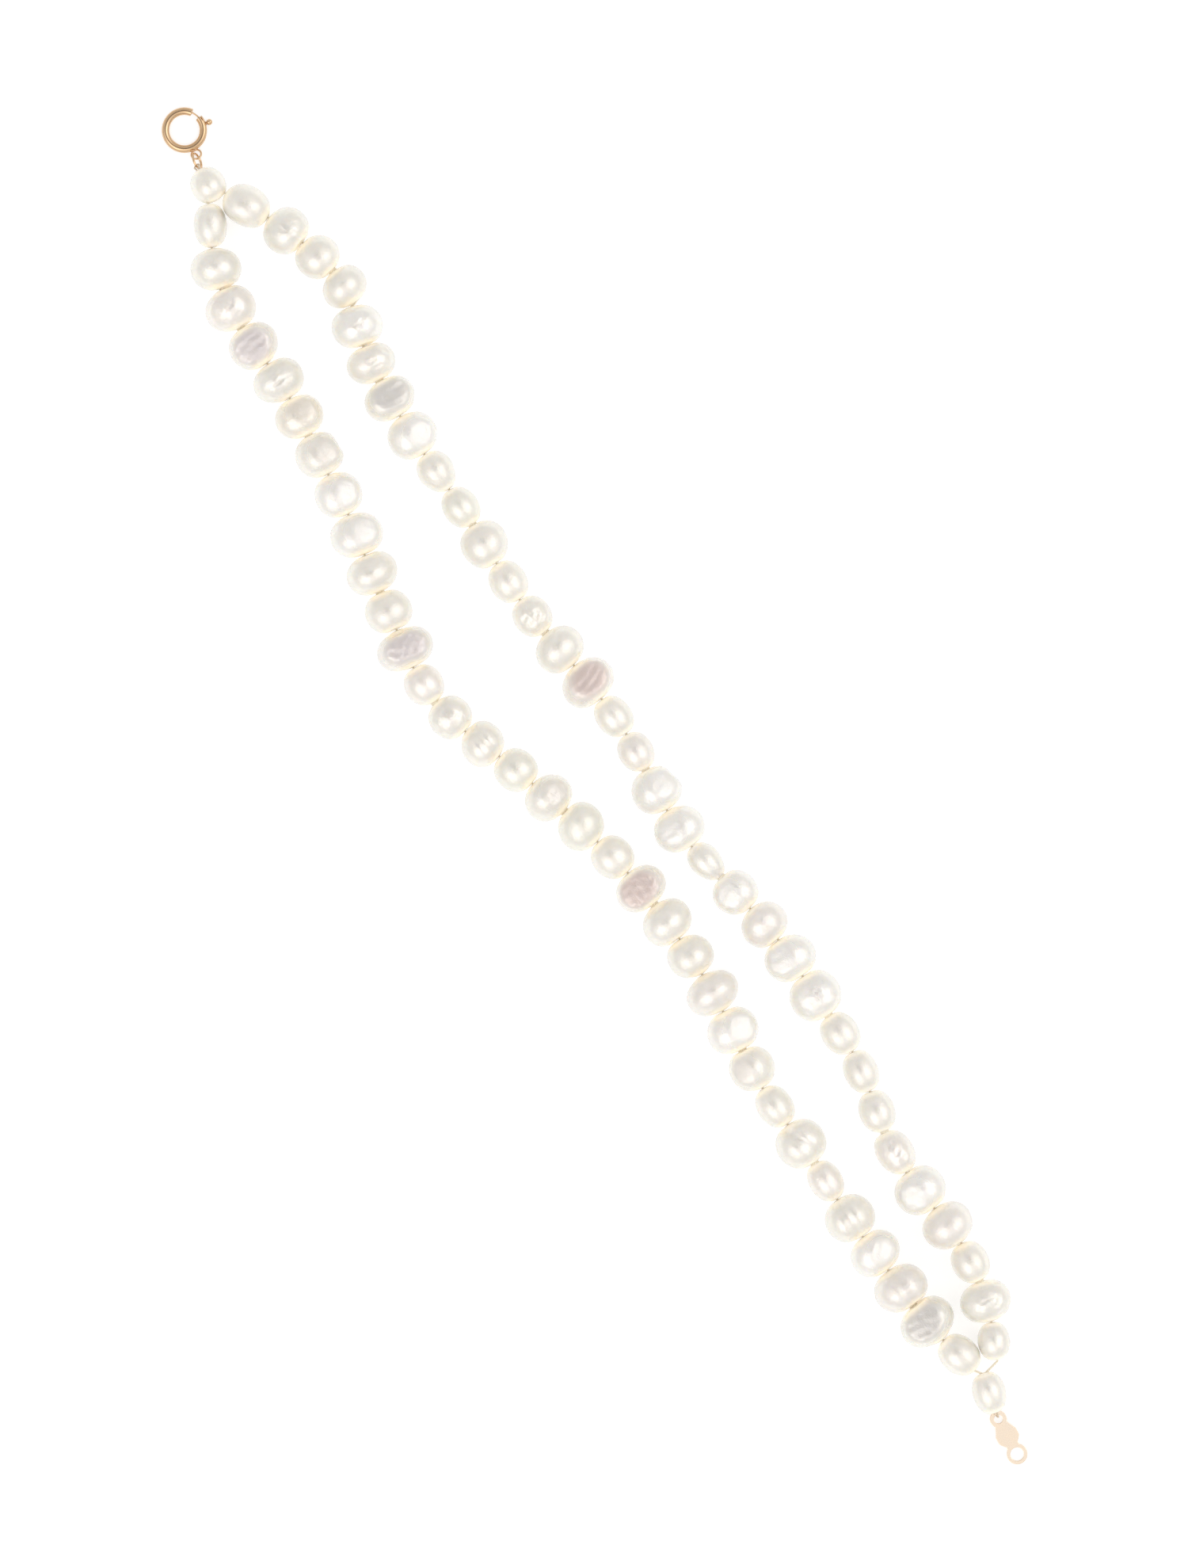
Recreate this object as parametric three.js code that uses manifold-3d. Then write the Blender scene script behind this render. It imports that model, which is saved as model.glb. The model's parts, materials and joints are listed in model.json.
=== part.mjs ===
// A two-strand freshwater-pearl bracelet with a spring-ring clasp at one end and a flat tag at the other.
//
// It lies flat, as on a table: millimetres, +Z up, the table at z = 0, +X from the clasp to the tag.
// Both strands leave the pearl at the clasp end, run side by side, and meet in the pearl at the tag end.
// While it is being built, x and y are counted from the middle of the clasp-end pearl.
// The last lines move the whole bracelet so that the origin is the middle of its footprint.

import * as THREE from 'three';
import { mergeVertices } from 'three/addons/utils/BufferGeometryUtils.js';
import Module from 'manifold-3d';

const wasm = await Module();
wasm.setup();

// ---------------------------------------------------------------- driving dimensions

const THREAD_HEIGHT = 2.5; // the drill holes' height above the table
const THREAD_RADIUS = 0.14;
const THREAD_SIDES = 5;
const HOLE_RADIUS = 0.4; // the drill hole through each pearl
const PEARL_GAP = 0.12; // slack between neighbouring pearls on the thread
const KNOT_RADIUS = 0.62; // the silk knot that ties two neighbouring pearls into one piece
const PEARL_SIDES = 8;
const PEARL_STEPS = [30, 54, 77.1, 102.9, 126, 150]; // degrees end to end; the middle two make the foot
const WRIST_RADIUS = 31.5; // the radius that the fastened bracelet bends to

// How tall a pearl stands for its width, and how blunt its ends are (1 is an ellipse, less is blunter).
const FORMS = {
  potato: { height: 0.9, bluntness: 0.8 },
  button: { height: 0.74, bluntness: 0.75 },
  oval: { height: 0.97, bluntness: 0.92 },
};

// The two end pearls, from where the thread goes in to where it comes out.
const CLASP_PEARL = { from: [-2.15, 0, 2.3], to: [2.15, 0, 2.5], width: 4.3, form: 'oval' };
const TAG_PEARL = { from: [169.7, 0.45, 2.5], to: [174.5, -1.0, 2.2], width: 4.1, form: 'oval' };

// Each strand's pearls in order from the clasp: the middle's x and y, the width across the thread, the form.
const STRANDS = {
  a: [
    [4.2, -2.5, 4.1, 'oval'], [9.0, -5.0, 6.2, 'potato'], [13.7, -6.2, 6.3, 'potato'],
    [19.3, -5.9, 6.2, 'button'], [24.4, -5.5, 6.4, 'potato'], [29.2, -5.9, 6.0, 'button'],
    [34.3, -6.6, 5.7, 'potato'], [39.6, -7.0, 5.8, 'button'], [44.9, -7.8, 6.5, 'button'],
    [49.8, -9.0, 6.4, 'potato'], [54.4, -9.6, 5.8, 'potato'], [59.5, -10.5, 7.1, 'button'],
    [64.2, -11.2, 4.8, 'oval'], [69.3, -10.7, 5.3, 'potato'], [73.9, -8.9, 5.5, 'potato'],
    [78.8, -7.1, 5.2, 'potato'], [83.6, -5.8, 6.1, 'potato'], [88.6, -4.3, 5.9, 'potato'],
    [94.0, -3.1, 5.1, 'potato'], [98.7, -2.3, 6.5, 'button'], [103.8, -1.9, 6.3, 'potato'],
    [108.9, -1.7, 5.7, 'potato'], [113.9, -2.0, 6.7, 'potato'], [119.0, -2.3, 6.4, 'button'],
    [124.2, -3.2, 5.6, 'potato'], [129.3, -3.2, 4.4, 'oval'], [134.7, -2.9, 6.2, 'potato'],
    [139.9, -2.8, 4.1, 'oval'], [145.6, -3.1, 6.2, 'potato'], [150.7, -2.6, 6.3, 'button'],
    [155.6, -2.3, 6.7, 'potato'], [161.1, -2.2, 7.0, 'button'], [166.4, -0.8, 4.6, 'potato'],
  ],
  b: [
    [5.0, 2.8, 5.0, 'oval'], [9.5, 5.0, 5.9, 'potato'], [14.5, 6.5, 5.5, 'potato'],
    [19.1, 7.3, 5.6, 'potato'], [23.9, 5.6, 6.3, 'potato'], [28.8, 4.5, 6.1, 'potato'],
    [32.9, 4.3, 6.4, 'button'], [38.6, 4.1, 6.2, 'button'], [43.7, 4.2, 4.5, 'oval'],
    [48.9, 4.5, 4.4, 'oval'], [54.1, 4.3, 5.8, 'potato'], [59.5, 4.3, 4.6, 'oval'],
    [64.4, 4.2, 4.7, 'oval'], [69.5, 5.1, 6.2, 'potato'], [74.6, 5.7, 6.8, 'button'],
    [79.9, 6.3, 4.4, 'oval'], [84.8, 6.1, 4.3, 'oval'], [90.0, 5.7, 6.1, 'potato'],
    [95.3, 4.9, 6.3, 'button'], [100.5, 5.9, 3.8, 'oval'], [105.4, 6.7, 5.5, 'button'],
    [110.4, 7.8, 5.9, 'potato'], [115.3, 8.3, 6.4, 'button'], [120.9, 7.9, 6.4, 'button'],
    [126.3, 8.4, 4.6, 'potato'], [131.6, 8.0, 4.2, 'oval'], [136.5, 6.7, 4.4, 'oval'],
    [141.8, 5.6, 4.6, 'oval'], [147.3, 5.8, 6.4, 'button'], [152.6, 6.6, 6.4, 'potato'],
    [157.8, 6.7, 4.6, 'oval'], [162.8, 5.3, 6.3, 'button'], [167.4, 3.8, 4.0, 'oval'],
  ],
};
const LAST_PEARL_END = { a: [168.9, -0.15], b: [169.3, 2.55] }; // where each strand's last pearl ends

// The pearls that bend as one piece: one pearl, or two tied together by a knot. Both strands share this.
const SEGMENTS = [
  [1], [2], [3, 4], [5], [6, 7], [8], [9], [10, 11], [12], [13, 14], [15], [16], [17, 18],
  [19], [20, 21], [22], [23], [24, 25], [26], [27, 28], [29], [30], [31, 32], [33],
];

// The spring ring, a hollow tube bent round its own middle. Its angles count anticlockwise from +X.
const RING = {
  centre: [-7.2, 1.2, 0.46],
  radius: 2.27,
  tube: 0.46,
  bore: 0.27,
  mouth: 124, // the blunt end that the bolt shuts against
  end: 98, // the slotted end that the bolt slides out of
  slotWidth: 0.34,
  slotFrom: 40,
};
const TRIGGER = {
  bolt: 0.17,
  tip: 126.5,
  tail: 62,
  piston: 0.22,
  neckAt: 75,
  neck: 0.12,
  collarAt: 2.84,
  collar: 0.26,
  ballAt: 3.1,
  ball: 0.42,
};
const SPRING = { coil: 0.19, wire: 0.035, turns: 12, from: 60.5, to: -62 };
const LUG = { angle: -7, reach: 3.24, radius: 0.6, wire: 0.12, tilt: 25 };

// The jump ring stands on edge between the lug and the loop of French wire, leaning back a little.
const JUMP_RING = { centre: [-3.2, 0.45, 1.08], radius: 0.95, wire: 0.14, turn: -12, lean: 22 };
const JUMP_RING_HOOK = 42; // where on the jump ring the loop holds it, in degrees round it
const LOOP_WIRE = 0.1;

// The tag: a small eye for the loop, a plate, and a large eye for the clasp.
const TAG = {
  smallEye: { outer: 1.03, hole: 0.52 },
  largeEye: { at: 4.8, outer: 1.25, hole: 0.81 },
  plate: { from: 1.9, to: 2.75, halfWidth: 1.35 },
  thickness: 0.3,
  centre: [175.47, -1.1, 0.55],
  turn: -4.7,
  slope: 3.79, // from the loop down to the table
};

const radians = THREE.MathUtils.degToRad;
const vector = (x, y, z = 0) => new THREE.Vector3(x, y, z);

// ---------------------------------------------------------------- materials

const pearlWhite = new THREE.MeshStandardMaterial({ color: 0xf2ecdf, roughness: 0.3, metalness: 0 });
const roseGold = new THREE.MeshStandardMaterial({ color: 0xe6b88a, roughness: 0.22, metalness: 1 });
const paleGold = new THREE.MeshStandardMaterial({ color: 0xf3dcae, roughness: 0.35, metalness: 1 });
const springSteel = new THREE.MeshStandardMaterial({ color: 0xb8b8bc, roughness: 0.3, metalness: 1 });
const silk = new THREE.MeshStandardMaterial({ color: 0xefe7d6, roughness: 0.8, metalness: 0 });
const frenchWire = new THREE.MeshStandardMaterial({ color: 0xd9ccb4, roughness: 0.35, metalness: 1 });

// ---------------------------------------------------------------- helpers

// A closed mesh through rings of points. The last ring joins the first, so it has a hole down its middle.
function ringedSolid(rings) {
  const sides = rings[0].length;
  const corners = rings.flat().flatMap((p) => [p.x, p.y, p.z]);
  const faces = [];
  for (let i = 0; i < rings.length; i += 1) {
    const here = i * sides;
    const next = ((i + 1) % rings.length) * sides;
    for (let j = 0; j < sides; j += 1) {
      const k = (j + 1) % sides;
      faces.push(here + j, here + k, next + k);
      faces.push(here + j, next + k, next + j);
    }
  }
  const geometry = new THREE.BufferGeometry();
  geometry.setAttribute('position', new THREE.Float32BufferAttribute(corners, 3));
  geometry.setIndex(faces);
  geometry.computeVertexNormals();
  return geometry;
}

// A ring of points in the upright plane across an axis, with flats at its top, bottom and sides.
function uprightRing(centre, across, halfWidth, halfHeight) {
  const corner = Math.PI / PEARL_SIDES;
  const ring = [];
  for (let j = 0; j < PEARL_SIDES; j += 1) {
    const angle = corner + (2 * Math.PI * j) / PEARL_SIDES;
    const point = centre.clone();
    point.addScaledVector(across, (halfWidth * Math.cos(angle)) / Math.cos(corner));
    point.z += (halfHeight * Math.sin(angle)) / Math.cos(corner);
    ring.push(point);
  }
  return ring;
}

// The level direction across an axis.
function sideways(axis) {
  return vector(-axis.y, axis.x).normalize();
}

// The rings round one pearl between its two holes. Its foot, at its middle, is level and touches the table.
function pearlRings({ from, to, width, form }) {
  const { height, bluntness } = FORMS[form];
  const axis = to.clone().sub(from);
  const across = sideways(axis);
  const middle = from.clone().lerp(to, 0.5);
  const share = PEARL_STEPS.map((step) => Math.sin(radians(step)) ** bluntness);
  const foot = Math.max(...share);
  const level = ((width * height) / 2) * foot;
  return PEARL_STEPS.map((step, i) => {
    const along = -Math.cos(radians(step)) / 2;
    const centre = middle.clone().addScaledVector(axis, along);
    centre.z = THREE.MathUtils.lerp(centre.z, level, share[i] / foot);
    return uprightRing(centre, across, (width / 2) * share[i], ((width * height) / 2) * share[i]);
  });
}

// A drilled pearl, or two pearls tied together: a knot fills the gap between them, round the shared hole.
function pearlSolid(pearls) {
  const outside = [];
  const hole = [];
  pearls.forEach((pearl, i) => {
    const across = sideways(pearl.to.clone().sub(pearl.from));
    const isFirst = i === 0;
    const isLast = i === pearls.length - 1;
    const start = isFirst ? HOLE_RADIUS : KNOT_RADIUS;
    const end = isLast ? HOLE_RADIUS : KNOT_RADIUS;
    outside.push(uprightRing(pearl.from, across, start, start));
    outside.push(...pearlRings(pearl));
    outside.push(uprightRing(pearl.to, across, end, end));
    if (!isLast) {
      const halfWay = pearl.to.clone().lerp(pearls[i + 1].from, 0.5);
      hole.push(uprightRing(halfWay, across, HOLE_RADIUS, HOLE_RADIUS));
    }
  });
  return ringedSolid([...outside, ...hole]);
}

// A route pulled straight from each point to the next.
class TautRoute extends THREE.Curve {
  constructor(points) {
    super();
    this.points = points;
  }

  getPoint(t, target = vector(0, 0)) {
    const along = t * (this.points.length - 1);
    const i = Math.min(Math.floor(along), this.points.length - 2);
    return target.lerpVectors(this.points[i], this.points[i + 1], along - i);
  }

  getPointAt(t, target) {
    return this.getPoint(t, target);
  }

  getTangentAt(t, target = vector(0, 0)) {
    const i = Math.round(t * (this.points.length - 1));
    const before = this.points[Math.max(i - 1, 0)];
    const after = this.points[Math.min(i + 1, this.points.length - 1)];
    return target.subVectors(after, before).normalize();
  }
}

// An arc round the clasp ring's middle, or a coil wound along that arc.
class ArcRoute extends THREE.Curve {
  constructor(from, to, coil = 0, turns = 0) {
    super();
    Object.assign(this, { from, to, coil, turns });
  }

  getPoint(t, target = vector(0, 0)) {
    const angle = radians(THREE.MathUtils.lerp(this.from, this.to, t));
    const winding = 2 * Math.PI * this.turns * t;
    const reach = RING.radius + this.coil * Math.cos(winding);
    return target.set(reach * Math.cos(angle), reach * Math.sin(angle), this.coil * Math.sin(winding));
  }
}

function disc(radius, hole = 0) {
  const shape = new THREE.Shape();
  shape.absarc(0, 0, radius, 0, 2 * Math.PI, false);
  if (hole) {
    const inside = new THREE.Path();
    inside.absarc(0, 0, hole, 0, 2 * Math.PI, true);
    shape.holes.push(inside);
  }
  return shape;
}

function rod(route, radius, steps, sides = 8, hole = 0) {
  return new THREE.ExtrudeGeometry(disc(radius, hole), {
    extrudePath: route,
    steps,
    curveSegments: sides / 2,
  });
}

function toManifold(geometry) {
  const bare = geometry.index ? geometry.clone() : geometry;
  bare.deleteAttribute('normal');
  bare.deleteAttribute('uv');
  const merged = mergeVertices(bare, 1e-5);
  return new wasm.Manifold(new wasm.Mesh({
    numProp: 3,
    vertProperties: new Float32Array(merged.attributes.position.array),
    triVerts: new Uint32Array(merged.index.array),
  }));
}

function fromManifold(solid) {
  const mesh = solid.getMesh();
  const geometry = new THREE.BufferGeometry();
  geometry.setAttribute('position', new THREE.BufferAttribute(mesh.vertProperties, 3));
  geometry.setIndex(new THREE.BufferAttribute(mesh.triVerts, 1));
  geometry.computeVertexNormals();
  return geometry;
}

function joined(geometries) {
  return fromManifold(geometries.map(toManifold).reduce((whole, piece) => whole.add(piece)));
}

const bracelet = new THREE.Group();

function add(name, geometry, material, parent = bracelet) {
  const mesh = new THREE.Mesh(geometry, material);
  mesh.name = name;
  parent.add(mesh);
  return mesh;
}

// ---------------------------------------------------------------- the pearls

function endPearl({ from, to, width, form }) {
  return { from: vector(...from), to: vector(...to), width, form };
}

const claspPearl = endPearl(CLASP_PEARL);
const tagPearl = endPearl(TAG_PEARL);

// The points where a strand's pearls meet: the first on the clasp-end pearl, then half-way between middles.
function contacts(name) {
  const middles = STRANDS[name].map(([x, y]) => vector(x, y, THREAD_HEIGHT));
  const clearOfEnd = CLASP_PEARL.width / 2 + PEARL_GAP;
  const first = vector(0, 0, THREAD_HEIGHT);
  first.addScaledVector(vector(middles[0].x, middles[0].y).normalize(), clearOfEnd);
  const between = middles.slice(1).map((middle, i) => middle.clone().lerp(middles[i], 0.5));
  return [first, ...between, vector(...LAST_PEARL_END[name], THREAD_HEIGHT)];
}

// A strand's pearls, each between two contact points less half a gap at each end.
function strandPearls(name) {
  const meets = contacts(name);
  return STRANDS[name].map(([, , width, form], i) => {
    const slack = meets[i + 1].clone().sub(meets[i]).setLength(PEARL_GAP / 2);
    return { from: meets[i].clone().add(slack), to: meets[i + 1].clone().sub(slack), width, form };
  });
}

const label = (number) => String(number).padStart(2, '0');

function segmentName(strand, segment) {
  const numbers = segment.map((number) => strand + label(number));
  return (numbers.length > 1 ? 'pearls_' : 'pearl_') + numbers.join('_');
}

const pearls = { a: strandPearls('a'), b: strandPearls('b') };
add('pearl_clasp_end', pearlSolid([claspPearl]), pearlWhite);
for (const strand of ['a', 'b']) {
  for (const segment of SEGMENTS) {
    const solid = pearlSolid(segment.map((number) => pearls[strand][number - 1]));
    add(segmentName(strand, segment), solid, pearlWhite);
  }
}
add('pearl_tag_end', pearlSolid([tagPearl]), pearlWhite);

// ---------------------------------------------------------------- the threads

// Both threads share the end pearls' holes, side by side.
const SIDE_BY_SIDE = 0.17;
const LEAD_IN = 0.3; // how far a thread runs straight outside an end pearl's hole

function threadRoute(strand) {
  const side = strand === 'a' ? -SIDE_BY_SIDE : SIDE_BY_SIDE;
  const beside = (pearl, along) => {
    const axis = pearl.to.clone().sub(pearl.from);
    return pearl.from.clone().addScaledVector(axis, along).addScaledVector(sideways(axis), side);
  };
  const length = (pearl) => pearl.to.distanceTo(pearl.from);
  return [
    beside(claspPearl, 0.6),
    beside(claspPearl, 1),
    ...pearls[strand].flatMap(({ from, to }) => [from, to]),
    beside(tagPearl, -LEAD_IN / length(tagPearl)),
    beside(tagPearl, 0),
    beside(tagPearl, 0.45),
  ];
}

for (const strand of ['a', 'b']) {
  const route = threadRoute(strand);
  add(`thread_${strand}`, rod(new TautRoute(route), THREAD_RADIUS, route.length - 1, THREAD_SIDES), silk);
}

// ---------------------------------------------------------------- the jump ring and its loop of French wire

const jumpRing = { u: vector(1, 0), v: vector(0, 0, 1) };
jumpRing.v.applyAxisAngle(vector(1, 0), radians(JUMP_RING.lean));
jumpRing.u.applyAxisAngle(vector(0, 0, 1), radians(JUMP_RING.turn));
jumpRing.v.addScaledVector(jumpRing.u, -jumpRing.v.dot(jumpRing.u)).normalize();
jumpRing.normal = jumpRing.u.clone().cross(jumpRing.v);

{
  const geometry = new THREE.TorusGeometry(JUMP_RING.radius, JUMP_RING.wire, 6, 20);
  const mesh = add('jump_ring', geometry, roseGold);
  mesh.setRotationFromMatrix(new THREE.Matrix4().makeBasis(jumpRing.u, jumpRing.v, jumpRing.normal));
  mesh.position.set(...JUMP_RING.centre);
}

// A point near where the loop holds the jump ring: outwards from the ring's middle, and to the ring's side.
const hookOutward = jumpRing.u.clone().multiplyScalar(Math.cos(radians(JUMP_RING_HOOK)));
hookOutward.addScaledVector(jumpRing.v, Math.sin(radians(JUMP_RING_HOOK)));
const hookSide = jumpRing.normal.clone().negate();
const hook = vector(...JUMP_RING.centre).addScaledVector(hookOutward, JUMP_RING.radius);
const nearHook = (outward, side) => hook.clone()
  .addScaledVector(hookOutward, outward)
  .addScaledVector(hookSide, side);

// The loop comes out of the clasp-end pearl, goes round the jump ring's wire and back in beside itself.
const LOOP_IN_PEARL = 0.42; // how deep the loop's ends sit, as a share of the pearl
function claspLoopRoute() {
  const leg = (side) => {
    const y = side * SIDE_BY_SIDE;
    const { from, to } = claspPearl;
    return [
      from.clone().lerp(to, LOOP_IN_PEARL).add(vector(0, y)),
      from.clone().lerp(to, 0.1).add(vector(0, y)),
      from.clone().add(vector(-0.15, y * 1.1, 0)),
      from.clone().add(vector(-0.38, y * 1.7, -0.25)),
      nearHook(0, side * 0.36),
      nearHook(-0.3, side * 0.25),
    ];
  };
  return [...leg(-1), nearHook(-0.42, 0), ...leg(1).reverse()];
}

add('clasp_loop', rod(new THREE.CatmullRomCurve3(claspLoopRoute()), LOOP_WIRE, 30, 6), frenchWire);

// ---------------------------------------------------------------- the spring ring

const clasp = new THREE.Group();
clasp.position.set(...RING.centre);
bracelet.add(clasp);

const atAngle = (angle, reach) => vector(reach * Math.cos(radians(angle)), reach * Math.sin(radians(angle)));

// The slot that the trigger's neck runs in, open at the tube's end.
function slotCutter() {
  const shape = new THREE.Shape();
  const inner = RING.radius;
  const outer = RING.radius + 2 * RING.tube;
  shape.absarc(0, 0, outer, radians(RING.slotFrom), radians(RING.end + 2), false);
  shape.absarc(0, 0, inner, radians(RING.end + 2), radians(RING.slotFrom), true);
  const cutter = new THREE.ExtrudeGeometry(shape, {
    depth: RING.slotWidth,
    bevelEnabled: false,
    curveSegments: 8,
  });
  return cutter.translate(0, 0, -RING.slotWidth / 2);
}

{
  const tubeRoute = new ArcRoute(RING.mouth, RING.end + 360);
  const tube = toManifold(rod(tubeRoute, RING.tube, 32, 10, RING.bore));
  const lug = new THREE.TorusGeometry(LUG.radius, LUG.wire, 6, 14);
  lug.rotateY(radians(-LUG.tilt));
  const lugAt = atAngle(LUG.angle, LUG.reach);
  lug.translate(lugAt.x, lugAt.y, lugAt.z);
  const ring = tube.subtract(toManifold(slotCutter())).add(toManifold(lug));
  add('spring_ring', fromManifold(ring), roseGold, clasp);
}

// ---------------------------------------------------------------- the trigger and its spring

// A short round piece on a line out from the ring's middle.
function radialPin(angle, from, to, radius) {
  const pin = new THREE.CylinderGeometry(radius, radius, to - from, 8);
  pin.rotateZ(radians(angle - 90));
  const at = atAngle(angle, (from + to) / 2);
  return pin.translate(at.x, at.y, at.z);
}

{
  const bolt = rod(new ArcRoute(TRIGGER.tail, TRIGGER.tip), TRIGGER.bolt, 8);
  const piston = rod(new ArcRoute(TRIGGER.tail, TRIGGER.tail + 5), TRIGGER.piston, 1);
  const neck = radialPin(TRIGGER.neckAt, RING.radius, TRIGGER.ballAt, TRIGGER.neck);
  const collar = radialPin(TRIGGER.neckAt, TRIGGER.collarAt - 0.05, TRIGGER.collarAt + 0.05, TRIGGER.collar);
  const ball = new THREE.SphereGeometry(TRIGGER.ball, 10, 6);
  const ballAt = atAngle(TRIGGER.neckAt, TRIGGER.ballAt);
  ball.translate(ballAt.x, ballAt.y, ballAt.z);
  add('trigger', joined([bolt, piston, neck, collar, ball]), roseGold, clasp);
}

{
  const coil = new ArcRoute(SPRING.from, SPRING.to, SPRING.coil, SPRING.turns);
  add('trigger_spring', rod(coil, SPRING.wire, SPRING.turns * 8, 4), springSteel, clasp);
}

// ---------------------------------------------------------------- the tag and its loop of French wire

function tagShape() {
  const { smallEye, largeEye, plate } = TAG;
  const shape = new THREE.Shape();
  const opening = radians(50); // where the small eye's rim runs into the plate
  shape.absarc(0, 0, smallEye.outer, opening, 2 * Math.PI - opening, false);
  shape.quadraticCurveTo(1.3, -1.0, plate.from, -plate.halfWidth);
  shape.lineTo(plate.to, -plate.halfWidth);
  shape.quadraticCurveTo(3.3, -1.0, 3.45, -0.78);
  shape.absarc(largeEye.at, 0, largeEye.outer, radians(220), radians(140 + 360), false);
  shape.lineTo(3.45, 0.78);
  shape.quadraticCurveTo(3.3, 1.0, plate.to, plate.halfWidth);
  shape.lineTo(plate.from, plate.halfWidth);
  shape.quadraticCurveTo(1.3, 1.0, smallEye.outer * Math.cos(opening), smallEye.outer * Math.sin(opening));
  for (const [x, radius] of [[0, smallEye.hole], [largeEye.at, largeEye.hole]]) {
    const hole = new THREE.Path();
    hole.absarc(x, 0, radius, 0, 2 * Math.PI, true);
    shape.holes.push(hole);
  }
  return shape;
}

const tag = new THREE.Group();
tag.position.set(...TAG.centre);
tag.rotation.set(0, radians(TAG.slope), radians(TAG.turn), 'ZYX');
bracelet.add(tag);

{
  const plate = new THREE.ExtrudeGeometry(tagShape(), {
    depth: TAG.thickness,
    bevelEnabled: false,
    curveSegments: 10,
  });
  add('end_tag', plate.translate(0, 0, -TAG.thickness / 2), paleGold, tag);
}

// The small eye's rim on the pearl's side, which the loop goes round.
tag.updateMatrixWorld(true);
const rimMiddle = tag.localToWorld(vector(-(TAG.smallEye.outer + TAG.smallEye.hole) / 2, 0));

// Out of the tag-end pearl, down through the small eye, under its rim and back in beside itself.
// Each point is the distance past the rim's middle, the height, and the distance to the side.
function tagLoopRoute() {
  const round = [
    [0.05, 1.95, 0.16], [0.38, 1.5, 0.12], [0.52, 0.95, 0.06], [0.5, 0.5, 0], [0.25, 0.17, -0.03],
    [-0.1, 0.12, -0.06], [-0.42, 0.4, -0.1], [-0.44, 0.85, -0.12], [-0.26, 1.35, -0.15], [-0.13, 1.85, -0.16],
  ];
  const axis = tagPearl.to.clone().sub(tagPearl.from);
  const inHole = (along, side) => tagPearl.from.clone()
    .addScaledVector(axis, along)
    .addScaledVector(sideways(axis), side * SIDE_BY_SIDE);
  return [
    inHole(0.7, 1),
    inHole(0.95, 1),
    ...round.map(([past, height, side]) => vector(rimMiddle.x + past, rimMiddle.y + side, height)),
    inHole(0.95, -1),
    inHole(0.7, -1),
  ];
}

add('tag_loop', rod(new THREE.CatmullRomCurve3(tagLoopRoute()), LOOP_WIRE, 36, 6), frenchWire);

// ---------------------------------------------------------------- the origin

bracelet.updateMatrixWorld(true);
const footprint = new THREE.Box3().setFromObject(bracelet, true).getCenter(vector(0, 0));
bracelet.position.set(-footprint.x, -footprint.y, 0);
bracelet.updateMatrixWorld(true);

// ---------------------------------------------------------------- the joints' axes, in the finished frame

// Where the strands bend, and how far there, so that the fastened bracelet follows a wrist.
// Both strands bend at the same x, so the closed loop of two strands stays closed.
function bends() {
  const meets = { a: contacts('a'), b: contacts('b') };
  const between = SEGMENTS.slice(1).map(([number]) => (meets.a[number - 1].x + meets.b[number - 1].x) / 2);
  const places = [claspPearl.to.x, ...between, tagPearl.from.x];
  const ends = [claspPearl.from.x, ...places, tagPearl.to.x];
  return places.map((x, i) => ({
    at: bracelet.localToWorld(vector(x, 0, THREAD_HEIGHT)).toArray(),
    degrees: THREE.MathUtils.radToDeg((ends[i + 2] - ends[i]) / 2 / WRIST_RADIUS),
  }));
}

// The foot of the widest pearl.
const widest = pearls.a.reduce((best, pearl) => (pearl.width > best.width ? pearl : best));
const foot = widest.from.clone().lerp(widest.to, 0.5).setZ(0);

const inFrame = (point) => bracelet.localToWorld(point.clone()).toArray();
bracelet.userData = {
  segments: SEGMENTS.map((segment) => ({ a: segmentName('a', segment), b: segmentName('b', segment) })),
  bends: bends(),
  hook: { at: inFrame(hook), axis: hookSide.toArray() },
  lug: { at: inFrame(vector(...RING.centre).add(atAngle(LUG.angle, LUG.reach))) },
  ring: { at: inFrame(vector(...RING.centre)) },
  foot: { at: inFrame(foot) },
  rim: { at: inFrame(rimMiddle), axis: vector(0, -1).transformDirection(tag.matrixWorld).toArray() },
  tagFace: {
    at: tag.localToWorld(vector((TAG.plate.from + TAG.plate.to) / 2, 0, TAG.thickness / 2)).toArray(),
    axis: vector(0, 0, 1).transformDirection(tag.matrixWorld).toArray(),
  },
};

export default bracelet;
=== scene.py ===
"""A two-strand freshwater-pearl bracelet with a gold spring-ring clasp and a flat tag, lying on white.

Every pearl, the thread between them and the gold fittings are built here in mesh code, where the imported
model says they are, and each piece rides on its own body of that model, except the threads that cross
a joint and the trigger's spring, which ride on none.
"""

import json
import math

import bmesh
import bpy
import numpy as np
from mathutils import Matrix, Vector

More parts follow.
